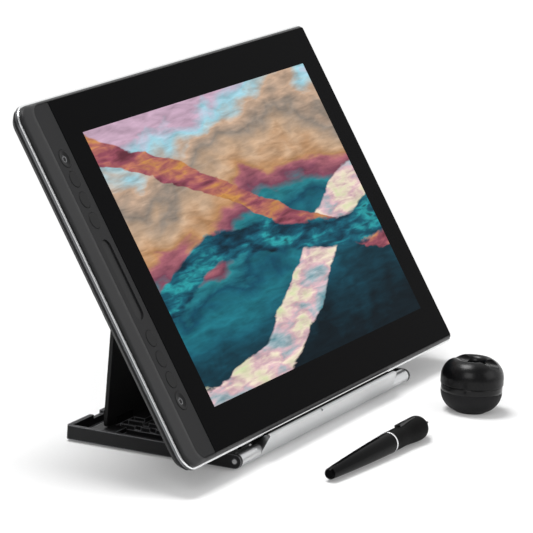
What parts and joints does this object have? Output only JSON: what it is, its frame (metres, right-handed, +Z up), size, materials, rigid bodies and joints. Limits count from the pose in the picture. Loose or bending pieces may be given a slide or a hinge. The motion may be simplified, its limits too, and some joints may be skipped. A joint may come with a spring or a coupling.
{
  "type": "graphics tablet with screen",
  "caption": "Drawing tablet with a built-in screen, side press keys and a touch strip, leaning on a folding stand, with a pressure pen and a round pen holder that stores nibs.",
  "frame": {"origin": "on the desk, straight under the middle of the stand's hinge line", "axes": "+X along the hinge line to the user's right, +Y to the rear, +Z up"},
  "size_m": [0.438, 0.2237, 0.2301],
  "materials": {
    "frame_grey": "fine matte moulding",
    "satin_silver": "satin",
    "cover_black": "fine matte moulding",
    "pad_rubber": "matte",
    "screen_glass": "etched, low gloss",
    "panel_black": "smooth",
    "board_green": "lacquered",
    "inner_metal": "rolled",
    "bright_steel": "bright",
    "key_black": "smooth matte",
    "bar_grey": "fine matte moulding",
    "strip_black": "smooth",
    "tray_black": "fine matte moulding",
    "plate_black": "powder coat",
    "pen_black": "satin",
    "ring_chrome": "bright",
    "grip_rubber": "matte",
    "rocker_black": "smooth",
    "nib_black": "smooth",
    "core_grey": "moulded",
    "holder_matte": "matte",
    "holder_gloss": "polished",
    "holder_satin": "satin"
  },
  "bodies": {
    "stand_base": {"base_tray": "tray_black", "base_feet": "pad_rubber", "end_tubes": "satin_silver", "hinge_pin": "bright_steel"},
    "support": {"lip_rail": "satin_silver", "rail_caps": "satin_silver", "lip_rubber": "pad_rubber", "support_plate": "plate_black", "plate_pads": "pad_rubber", "leg_pins": "bright_steel"},
    "leg": {"leg_plate": "plate_black", "leg_shoes": "pad_rubber"},
    "display": {"front_frame": "frame_grey", "edge_band": "satin_silver", "rear_cover": "cover_black", "rear_pads": "pad_rubber", "front_glass": "screen_glass", "lcd_panel": "panel_black", "digitiser_board": "board_green", "chassis": "inner_metal", "main_board": "board_green", "key_board": "board_green", "sockets": "bright_steel", "key_bar": "bar_grey", "touch_strip": "strip_black"},
    "power_button": {"power_button": "key_black"},
    "pen": {"pen_tail": "pen_black", "pen_ring": "ring_chrome", "pen_grip": "grip_rubber", "pen_core": "core_grey"},
    "pen_rocker": {"pen_rocker": "rocker_black"},
    "pen_nib": {"pen_nib": "nib_black"},
    "pen_holder": {"holder_foot": "pad_rubber", "holder_bowl": "holder_matte", "holder_band": "holder_gloss", "well_sleeve": "grip_rubber", "nib_rack": "core_grey", "spare_nibs": "nib_black"},
    "holder_lid": {"holder_lid": "holder_satin"},
    "key_1": {"key_1": "key_black"},
    "key_2": {"key_2": "key_black"},
    "key_3": {"key_3": "key_black"},
    "key_4": {"key_4": "key_black"},
    "key_5": {"key_5": "key_black"},
    "key_6": {"key_6": "key_black"},
    "key_7": {"key_7": "key_black"},
    "key_8": {"key_8": "key_black"}
  },
  "joints": [
    {"name": "plate_tilt", "type": "hinge", "parent": "stand_base", "child": "support", "pos_m": [0, 0, 0.0062], "axis": [1, 0, 0], "range_deg": [0, 27]},
    {"name": "leg_swing", "type": "hinge", "parent": "support", "child": "leg", "pos_m": [0, 0.09948, 0.1514], "axis": [-1, 0, 0], "range_deg": [0, 33.4]},
    {"name": "display_lift", "type": "slide", "parent": "support", "child": "display", "axis": [0, -0.8462, 0.5329], "range_m": [0, 0.025]},
    {"name": "power_press", "type": "slide", "parent": "display", "child": "power_button", "axis": [-1, 0, 0], "range_m": [0, 0.0004], "stiffness_N_per_m": 1000},
    {"name": "pen_lift", "type": "slide", "parent": "stand_base", "child": "pen", "axis": [0, 0, 1], "range_m": [0, 0.06]},
    {"name": "rocker_tip", "type": "hinge", "parent": "pen", "child": "pen_rocker", "pos_m": [-0.0121, -0.06466, 0.01308], "axis": [0.0477, 0.9691, -0.2419], "range_deg": [-2, 2], "stiffness_Nm_per_rad": 0.2},
    {"name": "nib_press", "type": "slide", "parent": "pen", "child": "pen_nib", "axis": [-0.9988, 0.0436, -0.0224], "range_m": [0, 0.0004], "stiffness_N_per_m": 2000},
    {"name": "holder_lift", "type": "slide", "parent": "stand_base", "child": "pen_holder", "axis": [0, 0, 1], "range_m": [0, 0.06]},
    {"name": "lid_lift", "type": "slide", "parent": "pen_holder", "child": "holder_lid", "axis": [0, 0, 1], "range_m": [0, 0.03]},
    {"name": "key_1_press", "type": "slide", "parent": "display", "child": "key_1", "axis": [0, 0.8462, -0.5329], "range_m": [0, 0.0007], "stiffness_N_per_m": 1000},
    {"name": "key_2_press", "type": "slide", "parent": "display", "child": "key_2", "axis": [0, 0.8462, -0.5329], "range_m": [0, 0.0007], "stiffness_N_per_m": 1000},
    {"name": "key_3_press", "type": "slide", "parent": "display", "child": "key_3", "axis": [0, 0.8462, -0.5329], "range_m": [0, 0.0007], "stiffness_N_per_m": 1000},
    {"name": "key_4_press", "type": "slide", "parent": "display", "child": "key_4", "axis": [0, 0.8462, -0.5329], "range_m": [0, 0.0007], "stiffness_N_per_m": 1000},
    {"name": "key_5_press", "type": "slide", "parent": "display", "child": "key_5", "axis": [0, 0.8462, -0.5329], "range_m": [0, 0.0007], "stiffness_N_per_m": 1000},
    {"name": "key_6_press", "type": "slide", "parent": "display", "child": "key_6", "axis": [0, 0.8462, -0.5329], "range_m": [0, 0.0007], "stiffness_N_per_m": 1000},
    {"name": "key_7_press", "type": "slide", "parent": "display", "child": "key_7", "axis": [0, 0.8462, -0.5329], "range_m": [0, 0.0007], "stiffness_N_per_m": 1000},
    {"name": "key_8_press", "type": "slide", "parent": "display", "child": "key_8", "axis": [0, 0.8462, -0.5329], "range_m": [0, 0.0007], "stiffness_N_per_m": 1000}
  ]
}
